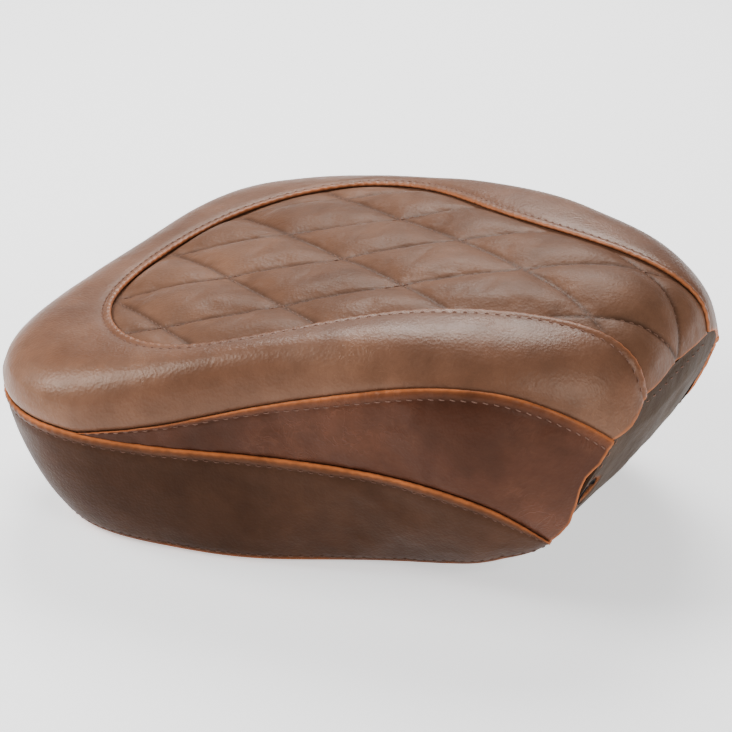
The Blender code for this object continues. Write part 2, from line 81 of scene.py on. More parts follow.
FULLNESS = [
    (0.62, 0.00, 0, 0.16, 0.62, 0), (0.62, 0.00, 0, 0.16, 0.62, 0), (0.62, 0.00, 0, 0.16, 0.62, 0),
    (0.50, 0.00, 0, 0.16, 0.62, 0), (0.78, 0.12, 0, 0.16, 0.66, 0), (1.10, 0.26, 0, 0.16, 0.68, 0),
    (1.20, 0.26, 0, 0.16, 0.64, 0), (1.05, 0.14, 0, 0.16, 0.62, 0), (0.95, 0.05, 3, 0.16, 0.60, 2),
    (1.00, 0.02, 10, 0.14, 0.56, 7), (1.00, 0.00, 22, 0.12, 0.50, 15), (0.94, -0.07, 28, 0.09, 0.44, 22),
]
WEDGE_START = 3.4
WEDGE_SEAM = [
    (3.4, 1.0), (4, 0.86), (5, 0.735), (6, 0.62), (7, 0.548), (8, 0.492), (9, 0.447), (10, 0.41),
    (11, 0.36),
]

# The front face, which leans back towards its foot, and the sockets in it.
FRONT_TOP_X = 225.0
FRONT_FOOT = (194.5, -79.0)
SOCKET_Y = 58.0
SOCKET_Z = -45.0
FRONT_FOOT_Z = -74.0  # where the facing ends, at the sides of the arch
FRONT_BULGE = 4.5
FRONT_CLEAR = 2.9  # the gap between the facing and the arch
FRONT_CELLS = (81, 141)
HOLE_RIM = 6.3
HOLE_LIP = 1.0  # how far the leather dips in at a hole

# The quilting: two sets of stitch lines. A line passes wherever along/50 + across/29.15 is odd, and
# its mirror image likewise, so that a diamond is 100 mm long and 58.3 mm wide.
QUILT_ALONG = 50.0
QUILT_ACROSS = 29.15
QUILT_LOW = -2.4
QUILT_HIGH = 1.8
QUILT_EDGE = -1.9
QUILT_REACH = 113.0
QUILT_MARGIN = 3.8  # how far the insert goes on under the bolster
QUILT_FADE = 205.0  # the run at which the quilting starts to flatten towards the front edge
FLAT_FILL = 0.5
CHANNEL_DEPTH = 0.45  # the stitches press a narrow channel into the leather
CHANNEL_WIDTH = 1.3
QUILT_CHANNEL_SHADE = 0.75  # how dark the painted shade is along the quilting channels
PADDING = 7.5
FOAM_ROUNDING = {
    "REMESH": {"mode": "VOXEL", "voxel_size": 4 * MM},
    "SMOOTH": {"factor": 0.5, "iterations": 3},
    "DISPLACE": {"strength": -0.5 * MM, "mid_level": 0},
}
CELLS = 14  # cloth cells from the middle of a diamond to its corner

# Leather: its dark, middle and light tones, roughness, how creased it is, and its gloss.
# The insert, bolster, wedge and skirt are one leather: the wedge and skirt tones are darkened as painted
# shade for the sides that face away from the light, and the insert and bolster tones are set to how
# brightly their tops are lit.
LEATHER_TONES_WITH_PAINTED_SHADE = {
    "insert": ((0.098, 0.044, 0.024), (0.138, 0.065, 0.037), (0.175, 0.086, 0.051), 0.46, 0.15, 0.13),
    "bolster": ((0.105, 0.044, 0.023), (0.131, 0.0575, 0.0315), (0.19, 0.09, 0.051), 0.4, 0.4, 0.3),
    "wedge": ((0.03, 0.0095, 0.0048), (0.058, 0.0195, 0.0105), (0.1, 0.036, 0.0195), 0.42, 1.0, 0.15),
    "skirt": ((0.03, 0.012, 0.006), (0.046, 0.0195, 0.0105), (0.066, 0.029, 0.016), 0.42, 0.2, 0.07),
    "front": ((0.034, 0.02, 0.012), (0.05, 0.031, 0.02), (0.078, 0.052, 0.036), 0.5, 0.15, 0.02),
}
PALED_LEATHER = (0.46, 0.135, 0.04)

# Edges of a panel at its seams: how far from the seam, how high above the surface, and how much the
# leather has paled there. A folded edge lies over the neighbour's tucked edge.
FOLDED = [
    (1.8, -1.5, 0.0), (0.5, -1.35, 0.05), (-0.3, -0.9, 0.2), (-0.6, -0.2, 0.7), (-0.4, 0.45, 1.0),
    (0.1, 0.85, 0.75), (0.9, 1.05, 0.25), (1.9, 1.0, 0.12), (2.9, 0.75, 0.08), (3.9, 0.2, 0.04),
    (4.7, -0.2, 0.0), (5.5, -0.05, 0.0), (6.6, 0.2, 0.0), (8.5, 0.3, 0.0), (12.0, 0.15, 0.0),
    (16.0, 0.0, 0.0),
]
FOLDED_FLAT = [(d * 0.85 if 0 < d < 6 else d, h * 0.75 if h > 0 else h, p * 0.75) for d, h, p in FOLDED]
TUCKED = [
    (14.0, 0.0, 0.0), (8.0, 0.0, 0.0), (4.5, -0.1, 0.0), (2.4, -0.4, 0.0), (1.0, -0.9, 0.0),
    (0.0, -1.4, 0.0), (-1.8, -1.8, 0.0),
]
HEMMED = [
    (14.0, 0.0, 0.0), (7.0, 0.0, 0.0), (4.2, -0.1, 0.0), (3.4, -0.3, 0.0), (2.6, -0.05, 0.1),
    (1.4, 0.1, 0.4), (0.5, -0.1, 0.9), (0.0, -0.55, 1.0),
]
STITCH_ROW = 10  # the row of FOLDED that the thread lies in
BEAD_ROWS = slice(3, 8)  # its rows that swell between the stitches
HEM_STITCH_ROW = 3
HEM_SHARES = np.array([0.05, 0.15, 0.35, 0.6, 0.85, 0.97, 1.0])
HEM_PALED = [0.8, 0.2, 0, 0, 0, 0.1, 0.4]
STAPLE_SHARE = 0.62
STITCH_PITCH = 5.0
STITCH_LENGTH = 3.2
THREAD_RADIUS = 0.29
ROD_RINGS = [(-1.0, 0.45), (-0.85, 0.8), (-0.4, 1.0), (0.0, 1.05), (0.4, 1.0), (0.85, 0.8), (1.0, 0.45)]
ROD_SIDES = 8

# Rods in a row: pitch, length, radius, how far they bow out, and how far they lean.
SEAM_RODS = (STITCH_PITCH, STITCH_LENGTH, THREAD_RADIUS, 0.3, 0.25)
FRONT_RODS = (6.5, 3.4, 0.26, 0.2, 0.2)
QUILT_RODS = (4.6, 3.4, 0.28, 0.22, 0.15)
STAPLE_RODS = (15.0, 10.0, 0.5, 0.45, 0.8)

# The raw edge of the cover beside the front panel: height, and how far the edge stands out there.
EDGE_RIGHT = [
    (1.0, 1.5), (-4.0, 5.5), (-8.0, 5.0), (-15.0, 0.5), (-26.0, 0.5),
    (-34.0, -2.2), (-40.0, -1.5), (-46.0, 0.8), (-58.0, 4.0), (-72.0, 2.6), (-78.0, 1.5),
]
EDGE_LEFT = [(-50.0, 0.6), (-66.0, -2.0), (-76.0, -5.0)]
EDGE_BLEND = 40.0  # the width over which one side's edge turns into the other's
EDGE_STRETCH = 16.0  # how much of a panel stretches to reach its raw edge
EDGE_PALED = 1.6
EDGE_WAVE = 0.5
EDGE_WAVE_SIZE = 17.0
EDGE_FRAY = 0.25

# Cloth simulation. For each panel: pressure, how much larger it is cut, and the most it may move.
CLOTH_SETTINGS = {
    "quality": 6, "mass": 0.25, "tension_stiffness": 25, "compression_stiffness": 25,
    "shear_stiffness": 12, "bending_stiffness": 1.5, "use_pressure": True,
}
CLOTH_FRAMES = 20
CLOTH_PITCH = 5.0
CLOTH_ROWS = 17
BOLSTER_CLOTH = (1.2, 0.0, 1.0)
WEDGE_CLOTH = (2.0, 0.005, 1.8)
SKIRT_CLOTH = (1.5, 0.002, 1.2)
QUILT_CLOTH = (6.0, 0.0025, 3.0)


# Lines and surfaces -------------------------------------------------------------------------


def unit(vectors):
    return vectors / np.maximum(np.linalg.norm(vectors, axis=-1, keepdims=True), 1e-9)


def spline(values):
    """A smooth curve through one value for each station, mirrored for the right side."""
    rows = np.atleast_2d(np.array(values, float).T).T
    mirror = np.ones(rows.shape[1])
    if rows.shape[1] == 3:
        mirror[1] = -1
    knots = np.vstack([rows[:0:-1] * mirror, rows])
    count = len(knots)
    system = np.eye(count)
    slopes = np.zeros_like(knots)
    for i in range(1, count - 1):
        system[i, i - 1 : i + 2] = (1, 4, 1)
        slopes[i] = 3 * (knots[i + 1] - knots[i - 1])
    system[0, :2] = (2, 1)
    system[-1, -2:] = (1, 2)
    slopes[0] = 3 * (knots[1] - knots[0])
    slopes[-1] = 3 * (knots[-1] - knots[-2])
    slopes = np.linalg.solve(system, slopes)

    def at(t):
        place = np.clip(np.asarray(t, float) + LAST, 0.0, count - 1.0)
        i = np.minimum(place.astype(int), count - 2)
        s = (place - i)[..., None]
        start = (1 + 2 * s) * (1 - s) ** 2 * knots[i] + s * (1 - s) ** 2 * slopes[i]
        end = s * s * (3 - 2 * s) * knots[i + 1] + s * s * (s - 1) * slopes[i + 1]
        return start + end

    return at


insert_seam = spline(INSERT_SEAM)
skirt_seam = spline(SKIRT_SEAM)
hem = spline(HEM)
fullness = spline(FULLNESS)
insert_crown = spline(INSERT_CROWN)
arch_crown = spline(ARCH_CROWN)


def cubic(a, b, c, d, v):
    v = np.asarray(v, float)[..., None]
    return (1 - v) ** 3 * a + 3 * (1 - v) ** 2 * v * b + 3 * (1 - v) * v * v * c + v**3 * d


def upper_side(t, v):
    """The bolster and the wedge, from the insert seam (v=0) over the edge to the skirt seam (v=1)."""
    top, foot = insert_seam(t), skirt_seam(t)
    out = (foot - top) * (1, 1, 0)
    down = (foot - top) * (0, 0, 1)
    full = fullness(t)
    first = top + out * full[..., 0:1] - down * full[..., 1:2] + full[..., 2:3] * (1, 0, 0)
    second = foot + out * full[..., 3:4] - down * full[..., 4:5] + full[..., 5:6] * (1, 0, 0)
    return cubic(top, first, second, foot, v)


def lower_side(t, v):
    """The skirt, from its seam (v=0) down to the hem (v=1)."""
    top, foot = skirt_seam(t), hem(t)
    out = (foot - top) * (1, 1, 0)
    down = (foot - top) * (0, 0, 1)
    return cubic(top, top + out * 0.1 + down * 0.33, top + out * 0.5 + down * 0.8, foot, v)


def along(surface, t, v):
    h = 0.01
    return unit(surface(np.minimum(t + h, LAST), v) - surface(np.maximum(t - h, -LAST), v))


def downwards(surface, t, v):
    h = 0.01
    return unit(surface(t, np.minimum(v + h, 1)) - surface(t, np.maximum(v - h, 0)))


def outwards(surface, t, v):
    return unit(np.cross(along(surface, t, v), downwards(surface, t, v)))


def insert_point(k, u):
    """The insert: k is the station of both ends of a row, and u runs from -1 to 1 across it."""
    seam = insert_seam(k)
    rise = insert_crown(k)[..., 0] * (1 - u * u)
    x = seam[..., 0] + 0.3 * rise * (k / LAST) ** 6
    return np.stack([x, seam[..., 1] * u, seam[..., 2] + rise], axis=-1)


def wedge_seam(t):
    """The place of the wedge seam between the insert seam and the skirt seam, its corners rounded."""
    stations, places = zip(*WEDGE_SEAM)
    size = np.abs(t)
    reach = np.clip(np.minimum(size - WEDGE_START, LAST - size), 0, 0.5)
    places = [np.interp(size + step, stations, places) for step in (-reach, 0, 0, reach)]
    return np.mean(places, axis=0)


ARCH_STATIONS = np.arange(0, LAST + 0.05, 0.1)
ARCH_X = hem(ARCH_STATIONS)[:, 0]


def arched(points):
    """The points of the arched underside above or below these."""
    k = np.interp(points[..., 0], ARCH_X, ARCH_STATIONS)
    edge = hem(k)
    share = np.minimum(np.abs(points[..., 1]) / np.maximum(edge[..., 1], 1), 1)
    crown = arch_crown(k)[..., 0]
    height = crown - (crown - edge[..., 2]) * share**2.2
    return np.stack([points[..., 0], points[..., 1], height], axis=-1)


FRONT_DOWN = unit(np.array([FRONT_FOOT[0] - FRONT_TOP_X, 0, FRONT_FOOT[1]]))
FRONT_NORMAL = np.array([-FRONT_DOWN[2], 0, FRONT_DOWN[0]])


def front_point(y, z, depth):
    """Points behind the plane of the front face."""
    x = FRONT_TOP_X + FRONT_DOWN[0] / FRONT_DOWN[2] * z
    return np.stack([x, y, z], axis=-1) - FRONT_NORMAL * np.asarray(depth)[..., None]


def to_world(points):
    return (np.asarray(points) - (CENTRE_X, 0, FLOOR_Z)) * MM


def waves(points, size, seed=0):
    """Smooth noise at each point, about -1 to 1, with bumps of this size in millimetres."""
    flat = np.asarray(points).reshape(-1, 3) / size + seed * 17.3
    values = [noise.noise(Vector(p)) for p in flat]
    return np.array(values).reshape(np.asarray(points).shape[:-1]) * 1.6


def run_along(points):
    return np.concatenate([[0], np.cumsum(np.linalg.norm(np.diff(points, axis=0), axis=1))])


def even_stations(line, first, last, pitch):
    """Stations between two others, spaced evenly along a line."""
    t = np.linspace(first, last, 2001)
    run = run_along(line(t))
    return np.interp(np.linspace(0, run[-1], int(run[-1] / pitch) + 1), run, t)


# Meshes -------------------------------------------------------------------------------------


def linked(name, data):
    obj = bpy.data.objects.new(name, data)
    bpy.context.scene.collection.objects.link(obj)
    return obj


def new_piece(name, vertices, faces, material, paled=None):
    """A mesh that rides on the seat, with how far its leather has paled, and painted shade where that is
    below zero.
    """
    mesh = bpy.data.meshes.new(name)
    mesh.from_pydata(to_world(vertices), [], faces)
    if paled is not None:
        attribute = mesh.attributes.new("paled", "FLOAT", "POINT")
        attribute.data.foreach_set("value", np.asarray(paled, np.float32).ravel())
    mesh.materials.append(material)
    mesh.shade_smooth()
    mesh.set_sharp_from_angle(angle=np.radians(50))
    obj = linked(name, mesh)
    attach(obj, "root")
    return obj


def cell_faces(rows, columns, start=0, flip=False):
    corner = start + (np.arange(rows - 1)[:, None] * columns + np.arange(columns - 1)).ravel()
    faces = np.stack([corner, corner + 1, corner + columns + 1, corner + columns], axis=1)
    return faces[:, ::-1] if flip else faces


def shell(outer, inner, paled, kept, bare):
    """A closed shell from the kept cells of two grids. Its lining is pale in the bare rows."""
    rows, columns = kept.shape
    top = cell_faces(rows, columns)
    top = top[kept.ravel()[top].all(axis=1)]
    edges = np.vstack([top[:, [i, (i + 1) % 4]] for i in range(4)])
    back = {(b, a) for a, b in edges.tolist()}
    rim = np.array([pair for pair in map(tuple, edges.tolist()) if pair not in back])
    half = rows * columns
    sides = np.stack([rim[:, 1], rim[:, 0], rim[:, 0] + half, rim[:, 1] + half], axis=1)
    faces = np.vstack([top, top[:, ::-1] + half, sides])
    used, number = np.unique(faces, return_inverse=True)
    points = np.vstack([outer.reshape(-1, 3), inner.reshape(-1, 3)])[used]
    lining = np.zeros_like(paled)
    lining[bare] = 1
    values = np.concatenate([paled.ravel(), lining.ravel()])[used]
    return points, number.reshape(faces.shape).tolist(), values


def swelling(points, faces, pinned, pressure, slack, cap):
    """How far a cloth panel, held at its seams, moves under the push of the foam, in millimetres.

    The panel is cut a little larger than the surface it covers, so it also gathers at its seams.
    """
    mesh = bpy.data.meshes.new("cloth")
    mesh.from_pydata(points * MM, [], faces)
    obj = linked("cloth", mesh)
    scene = bpy.context.scene
    group = obj.vertex_groups.new(name="seams")
    group.add(np.flatnonzero(pinned).tolist(), 1.0, "REPLACE")
    cloth = obj.modifiers.new("cloth", "CLOTH")
    settings = cloth.settings
    settings.vertex_group_mass = group.name
    for name, value in CLOTH_SETTINGS.items():
        setattr(settings, name, value)
    settings.uniform_pressure_force = pressure
    settings.shrink_min = -slack
    settings.effector_weights.gravity = 0
    cloth.collision_settings.use_collision = False
    cloth.point_cache.frame_start = 1
    cloth.point_cache.frame_end = CLOTH_FRAMES
    for step in range(1, CLOTH_FRAMES + 1):
        scene.frame_set(step)
    evaluated = obj.evaluated_get(bpy.context.evaluated_depsgraph_get())
    moved = np.zeros(len(points) * 3, np.float32)
    evaluated.data.vertices.foreach_get("co", moved)
    bpy.data.objects.remove(obj)
    bpy.data.meshes.remove(mesh)
    scene.frame_set(1)
    shift = moved.reshape(-1, 3) / MM - points
    size = np.linalg.norm(shift, axis=1, keepdims=True)
    return shift * np.minimum(1, cap / np.maximum(size, 1e-6))


# Side panels --------------------------------------------------------------------------------


def run_down(surface, t, first, last):
    """Places v from one seam to the other at each station, and the run down to each of them."""
    v = first[:, None] + (last - first)[:, None] * np.linspace(0, 1, 61)
    points = surface(t[:, None] + 0 * v, v)
    steps = np.linalg.norm(np.diff(points, axis=1), axis=2)
    return v, np.concatenate([np.zeros((len(t), 1)), np.cumsum(steps, axis=1)], axis=1)


def swell_panel(surface, t, first, last, pressure, slack, cap):
    """The cloth's movement off a side panel, on a coarse grid of stations and shares of its width."""
    share = np.linspace(0, 1, CLOTH_ROWS)
    v = first[:, None] + (last - first)[:, None] * share
    grid = surface(t[:, None] + 0 * v, v)
    pinned = np.zeros(grid.shape[:2], bool)
    pinned[:, [0, -1]] = True
    pinned[[0, -1]] = True
    faces = cell_faces(*grid.shape[:2], flip=True).tolist()
    shift = swelling(grid.reshape(-1, 3), faces, pinned.ravel(), pressure, slack, cap).reshape(grid.shape)
    return (shift * outwards(surface, t[:, None] + 0 * v, v)).sum(axis=2)


def read_swell(field, t_field, t, share):
    """The cloth's movement at each station and share of the width, between the points of its grid."""
    place = np.interp(t, t_field, np.arange(len(t_field)))[:, None] + 0 * share
    i = np.minimum(place.astype(int), field.shape[0] - 2)
    across = np.clip(share, 0, 1) * (field.shape[1] - 1)
    j = np.minimum(across.astype(int), field.shape[1] - 2)
    a, b = place - i, across - j
    near = field[i, j] * (1 - b) + field[i, j + 1] * b
    far = field[i + 1, j] * (1 - b) + field[i + 1, j + 1] * b
    return near * (1 - a) + far * a


def side_panel(surface, seams, t, t_cloth, top_edge, low_edge, middle, lumps, cloth):
    """Grids of the outer and inner face of a side panel, how far it has paled, and its normals.

    seams gives the places v of its two seams at each station.
    """
    field = swell_panel(surface, t_cloth, *seams(t_cloth), *cloth)
    first, last = seams(t)
    v, run = run_down(surface, t, first, last)
    length = run[:, -1]
    top, low = np.array(top_edge), np.array(low_edge)
    squeeze = np.minimum(1, length / (top[-1, 0] + low[0, 0] + 6))[:, None]
    inner_part = np.linspace(0, 1, middle + 2)[1:-1]
    start, end = top[-1, 0] * squeeze, length[:, None] - low[0, 0] * squeeze
    down = np.hstack([
        top[:, 0] * squeeze, start + (end - start) * inner_part, length[:, None] - low[:, 0] * squeeze
    ])
    flat = np.zeros(middle)
    rise = np.concatenate([top[:, 1], flat, low[:, 1]]) * np.minimum(1, 0.35 + 0.65 * squeeze)
    paled = np.concatenate([top[:, 2], flat, low[:, 2]]) + 0 * squeeze
    inside = np.clip(down, 0, length[:, None])
    places = np.array([np.interp(inside[i], run[i], v[i]) for i in range(len(t))])
    stations = t[:, None] + 0 * places
    base = surface(stations, places)
    normal = outwards(surface, stations, places)
    base = base + downwards(surface, stations, places) * (down - inside)[..., None]
    share = inside / np.maximum(length[:, None], 1e-6)
    calm = np.clip(np.minimum(inside, length[:, None] - inside) / 18, 0, 1)
    rise = rise + calm * lumps(base)
    rise = rise + read_swell(field, t_cloth, t, share)
    outer = base + normal * rise[..., None]
    inner = base - normal * (LEATHER + 0.6)
    beads = stitch_beads(outer[:, STITCH_ROW])
    outer[:, BEAD_ROWS] += normal[:, BEAD_ROWS] * beads[:, None, None]
    return outer, inner, paled, normal


def edge_reach(line):
    """How far the raw edge of the cover stands out beside the front panel, more evenly on the left."""
    left, right = (np.interp(line[:, 2], *zip(*rows[::-1])) for rows in (EDGE_LEFT, EDGE_RIGHT))
    share = np.clip(0.5 - line[:, 1] / EDGE_BLEND, 0, 1)
    wave = EDGE_WAVE * waves(line, EDGE_WAVE_SIZE, 3) + EDGE_FRAY * waves(line, 5, 5)
    return (left + (right - left) * share + wave)[:, None]


def run_over(outer, inner, paled, ends):
    """Stretches a panel to its raw edge at the front, where it pales."""
    outer, inner, paled = outer.copy(), inner.copy(), paled.copy()
    for end in ends:
        towards = -1 if end == 0 else 1
        last = 0 if end == 0 else len(outer) - 1
        step = unit(outer[last] - outer[last - 3 * towards]) * edge_reach(outer[last])
        away = np.linalg.norm(outer - outer[last], axis=-1)
        share = np.clip(1 - away / EDGE_STRETCH, 0, 1)[..., None]
        outer += step * share
        inner += step * share
        paled = np.maximum(paled, np.clip(1 - away / EDGE_PALED, 0, 1) ** 1.5)
    return outer, inner, paled


def cover_piece(name, grids, material):
    vertices, faces, paled = shell(*grids, np.ones(grids[2].shape, bool), [0, -1])
    piece = new_piece(name, vertices, faces, material, paled)
    return piece


def panel_lumps(seed, height):
    """Unevenness of the foam under the leather."""

    def lumps(points):
        return height * (0.7 * waves(points, 55, seed) + 0.3 * waves(points, 21, seed + 1))

    return lumps


def make_bolster(material):
    t, t_cloth = (even_stations(skirt_seam, -LAST, LAST, pitch) for pitch in (1.3, CLOTH_PITCH))
    outer, inner, paled, normal = side_panel(
        upper_side, lambda t: (0 * t, wedge_seam(t)), t, t_cloth,
        FOLDED_FLAT, TUCKED, 34, panel_lumps(1, 0.45), BOLSTER_CLOTH,
    )
    grids = run_over(outer, inner, paled, (0, -1))
    piece = cover_piece("leather_bolster", grids, material)
    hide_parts("cover_bolster")
    return outer[:, STITCH_ROW], normal[:, STITCH_ROW]


def make_wedge(side, word, material):
    t = side * even_stations(skirt_seam, WEDGE_START + 0.04, LAST, 1.2)
    t_cloth = side * even_stations(skirt_seam, WEDGE_START + 0.3, LAST, CLOTH_PITCH)
    if side < 0:
        t, t_cloth = t[::-1], t_cloth[::-1]
    outer, inner, paled, normal = side_panel(
        upper_side, lambda t: (wedge_seam(t), 1 + 0 * t), t, t_cloth,
        FOLDED, TUCKED, 26, panel_lumps(4 + side, 0.4), WEDGE_CLOTH,
    )
    grids = run_over(outer, inner, paled, (-1,) if side > 0 else (0,))
    piece = cover_piece(f"leather_wedge_{word}", grids, material)
    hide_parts(f"cover_wedge_{word}")
    return outer[:, STITCH_ROW], normal[:, STITCH_ROW]


def make_skirt(material):
    """The skirt, folded under the pan at the hem."""
    t, t_cloth = (even_stations(skirt_seam, -LAST, LAST, pitch) for pitch in (1.2, CLOTH_PITCH))
    outer, inner, paled, normal = side_panel(
        lower_side, lambda t: (0 * t, 1 + 0 * t), t, t_cloth,
        FOLDED, HEMMED, 26, panel_lumps(8, 0.4), SKIRT_CLOTH,
    )
    low_row = outer.shape[1] - len(HEMMED) + HEM_STITCH_ROW
    seam, hem_seam = ((outer[:, row], normal[:, row]) for row in (STITCH_ROW, low_row))
    inward = -unit(outwards(lower_side, t, 1 + 0 * t) * (1, 1, 0))
    width = HEM_RETURN * np.minimum(1, 0.2 + 0.8 * (LAST - np.abs(t)))
    foot = hem(t)
    under = arched(foot[:, None] + inward[:, None] * (width[:, None] * HEM_SHARES)[..., None])
    lift = np.array([0, 0, LEATHER])
    frayed = 0.5 * waves(under, 9, 11)[..., None] * inward[:, None] * (HEM_SHARES > 0.95)[:, None]
    corner = (foot + inward * LEATHER + lift)[:, None]
    outer = np.concatenate([outer, under + frayed], axis=1)
    inner = np.concatenate([inner[:, :-2], corner, corner, under + frayed + lift], axis=1)
    paled = np.concatenate([paled, np.tile(HEM_PALED, (len(t), 1))], axis=1)
    grids = run_over(outer, inner, paled, (0, -1))
    piece = cover_piece("leather_skirt", grids, material)
    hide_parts("cover_skirt")
    staple_line = arched(foot + inward * (width * STAPLE_SHARE)[:, None])
    return seam, hem_seam, staple_line


def stitch_beads(line):
    """The folded edge swells a little between the stitches that pull it down."""
    run = run_along(line)
    return -0.2 * np.cos(2 * np.pi * run / STITCH_PITCH) + 0.12 * waves(line, 7, 9)


# The quilted insert -------------------------------------------------------------------------

ROW_STATIONS = np.linspace(0, LAST, 441)
ROW_RUN = run_along(insert_point(ROW_STATIONS, 0 * ROW_STATIONS))
ROW_RUN = ROW_RUN - np.interp(0, insert_point(ROW_STATIONS, 0 * ROW_STATIONS)[:, 0], ROW_RUN)


def insert_place(s, y):
    """A point of the insert from its run along the middle and its distance to the left."""
    k = np.interp(s, ROW_RUN, ROW_STATIONS)
    half = np.maximum(insert_seam(k)[..., 1], 1)
    point = insert_point(k, np.clip(y / half, -1, 1))
    point[..., 1] = y
    start, past_start, near_end, end = insert_point(np.array([0, 1.2, LAST - 0.1, LAST]), np.zeros(4))
    rear, front = unit(past_start - start), unit(end - near_end)
    behind = np.minimum(s - ROW_RUN[0], 0)[..., None]
    ahead = np.maximum(s - ROW_RUN[-1], 0)[..., None]
    return point + rear * behind + front * ahead


def seam_distance(s, y):
    """How far inside the insert's seam a place is, below zero outside it. The front end is open."""
    t = even_stations(insert_seam, -LAST, LAST, 1.0)
    line = np.stack([np.interp(np.abs(t), ROW_STATIONS, ROW_RUN), insert_seam(t)[:, 1]], axis=1)
    flat = np.stack([np.minimum(s, ROW_RUN[-1]).ravel(), y.ravel()], axis=1)
    nearest = [np.hypot(line[:, 0] - p[0], line[:, 1] - p[1]).min() for p in flat]
    k = np.interp(s, ROW_RUN, ROW_STATIONS)
    inside = (np.abs(y) < insert_seam(k)[..., 1]) & (s > ROW_RUN[0])
    return np.where(inside, 1, -1) * np.reshape(nearest, s.shape)


def line_distance(s, y):
    """Distances in millimetres to the nearest stitch line of each of the two sets."""
    slope = np.hypot(1 / QUILT_ALONG, 1 / QUILT_ACROSS)
    lines = (s / QUILT_ALONG + y / QUILT_ACROSS, y / QUILT_ACROSS - s / QUILT_ALONG)
    return [np.abs(line % 2 - 1) / slope for line in lines]


def pillow(s, y, edge):
    """How full the quilting is at a place: 0 on a stitch line or seam, 1 in the middle of a diamond."""
    widest = 1 / np.hypot(1 / QUILT_ALONG, 1 / QUILT_ACROSS)
    full = np.ones_like(s)
    for away in line_distance(s, y):
        full = full * (1 - (1 - np.clip(away / widest, 0, 1)) ** 2.8)
    fade = 1 - 0.75 * np.clip((s - QUILT_FADE) / (ROW_RUN[-1] - QUILT_FADE), 0, 1) ** 1.5
    return FLAT_FILL + (full * (1 - (1 - np.clip(edge / 16, 0, 1)) ** 2.5) - FLAT_FILL) * fade


def quilt_base(s, y, edge):
    """The insert before the foam pushes at it, with its edge going under the folded seam."""
    place = insert_place(s, y)
    ds = insert_place(s + 0.5, y) - insert_place(s - 0.5, y)
    dy = insert_place(s, y + 0.5) - insert_place(s, y - 0.5)
    normal = unit(np.cross(ds, dy))
    low = QUILT_EDGE + (QUILT_LOW - QUILT_EDGE) * np.clip(edge / 8, 0, 1)
    height = low + (QUILT_HIGH - low) * pillow(s, y, edge)
    height = np.where(edge < 0, QUILT_EDGE + 0.1 * edge, height)
    return place, normal, height


def quilt_grid(step):
    """Places on a grid whose diagonals are the stitch lines."""
    ds, dy = QUILT_ALONG / step, QUILT_ACROSS / step
    s = ds * np.arange(np.floor((ROW_RUN[0] - 4) / ds), np.ceil(ROW_RUN[-1] / ds) + 1)
    half = np.ceil(QUILT_REACH / dy)
    y = dy * np.arange(-half, half + 1)
    s = s[s <= ROW_RUN[-1]]
    s = np.append(s, ROW_RUN[-1])
    return np.meshgrid(s, y, indexing="ij")


def on_a_line(s, y, step):
    """Whether a place of the grid lies on a stitch line."""
    close = 0.2 * QUILT_ACROSS / step
    first, second = line_distance(s, y)
    return (first < close) | (second < close)


def doubled(grid):
    """The grid with a place added between each two neighbours."""
    for axis in (0, 1):
        moved = np.moveaxis(grid, axis, 0)
        made = np.empty((2 * len(moved) - 1, *moved.shape[1:]))
        made[::2] = moved
        made[1::2] = (moved[1:] + moved[:-1]) / 2
        grid = np.moveaxis(made, 0, axis)
    return grid


def eased(field, held):
    """Smooths a field once, except where it is held."""
    padded = np.pad(field, 1, mode="edge")
    blurred = (
        4 * field + padded[:-2, 1:-1] + padded[2:, 1:-1] + padded[1:-1, :-2] + padded[1:-1, 2:]
    ) / 8
    return np.where(held, field, blurred)


def quilt_swell():
    """The cloth's movement off the insert, and the grid it is on."""
    s, y = quilt_grid(CELLS)
    edge = seam_distance(s, y)
    place, normal, height = quilt_base(s, y, edge)
    cloth = place + normal * height[..., None]
    kept = edge > -2.5
    number = np.cumsum(kept.ravel()) - 1
    faces = cell_faces(*s.shape, flip=True)
    faces = faces[kept.ravel()[faces].all(axis=1)]
    pinned = on_a_line(s, y, CELLS) | (edge < 3)
    pinned[-1] = True
    shift = swelling(cloth[kept], number[faces].tolist(), pinned[kept], *QUILT_CLOTH)
    off = np.zeros(s.shape)
    off[kept] = (shift * normal[kept]).sum(axis=1)
    return s, y, edge, off


def make_insert(material):
    s, y, edge, off = quilt_swell()
    s, y, edge, off = (doubled(grid) for grid in (s, y, edge, off))
    near_line = np.minimum(*line_distance(s, y))
    off = eased(off, near_line < 0.3)
    place, normal, height = quilt_base(s, y, edge)
    inside = np.clip(edge / 6, 0, 1)
    beside = np.exp(-((near_line / 5) ** 2)) * np.clip(near_line / 1.5, 0, 1)
    pucker = 0.35 * waves(place * (1, 1, 0.2), 4.5, 21) * beside
    channel = np.exp(-((near_line / CHANNEL_WIDTH) ** 2))
    height = height + off + inside * (pucker - CHANNEL_DEPTH * channel + 0.35 * waves(place, 30, 23))
    outer = place + normal * height[..., None]
    step = unit(outer[-1] - outer[-4]) * (1.6 + 0.5 * waves(outer[-1], EDGE_WAVE_SIZE, 3)[:, None])
    outer = np.concatenate([outer, outer[-1] + np.array([step * share for share in (0.4, 0.8, 1.0)])])
    cut = np.tile([[0.1], [0.5], [1.0]], (1, edge.shape[1]))
    # Painted shade: negative values of paled darken the leather along the quilting channels.
    paled = np.concatenate([-QUILT_CHANNEL_SHADE * inside * channel, cut])
    normal = np.concatenate([normal, np.tile(normal[-1], (3, 1, 1))])
    inner = outer - normal * (LEATHER + 0.2)
    kept = np.concatenate([edge, np.tile(edge[-1], (3, 1))]) > -QUILT_MARGIN
    vertices, faces, paled = shell(outer, inner, paled, kept, [-1])
    piece = new_piece("leather_quilted_insert", vertices, faces, material, paled)
    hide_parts("cover_quilted_insert")


